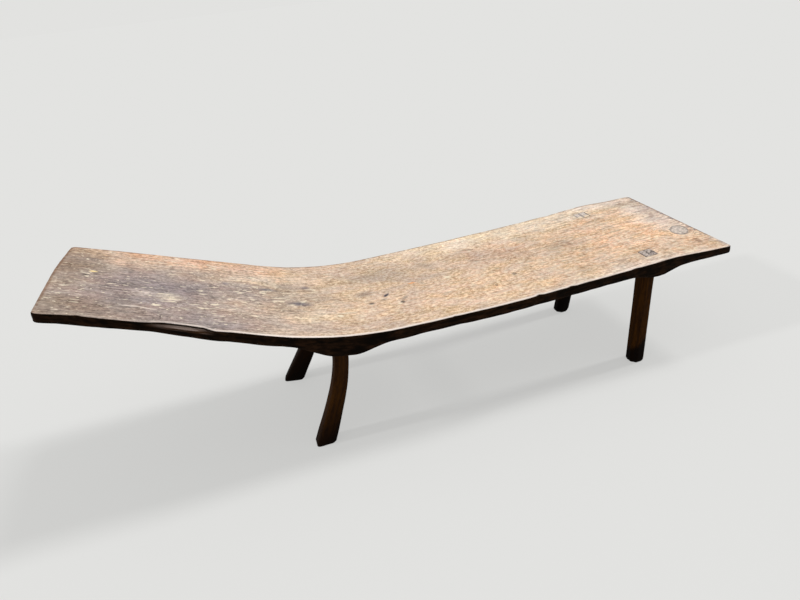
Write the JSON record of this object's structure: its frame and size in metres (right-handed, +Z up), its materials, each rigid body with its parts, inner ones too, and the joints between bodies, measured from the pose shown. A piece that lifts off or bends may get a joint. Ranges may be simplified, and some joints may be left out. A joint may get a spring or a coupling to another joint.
{
  "type": "daybed",
  "caption": "Low wooden daybed carved from a plank, with a raised curved headrest, kicked head legs and straight foot legs on wedged through tenons.",
  "frame": {"origin": "on the floor under the middle of the plank's length and width", "axes": "+X along the plank from the headrest to the foot end, +Y across it to the far side, +Z up"},
  "size_m": [2.036, 0.5498, 0.6405],
  "materials": {
    "plank_wood": "worn, matt, pale on top and nearly black on its sides and underside",
    "leg_wood": "dark brown, satin from handling, black towards the soles",
    "wedge_wood": "weathered grey end grain"
  },
  "bodies": {
    "root": {"bed_plank": "plank_wood", "foot_leg_near": "leg_wood", "foot_leg_far": "leg_wood", "foot_wedge_near": "wedge_wood", "foot_wedge_far": "wedge_wood", "head_leg_near": "leg_wood", "head_leg_far": "leg_wood"}
  },
  "joints": []
}
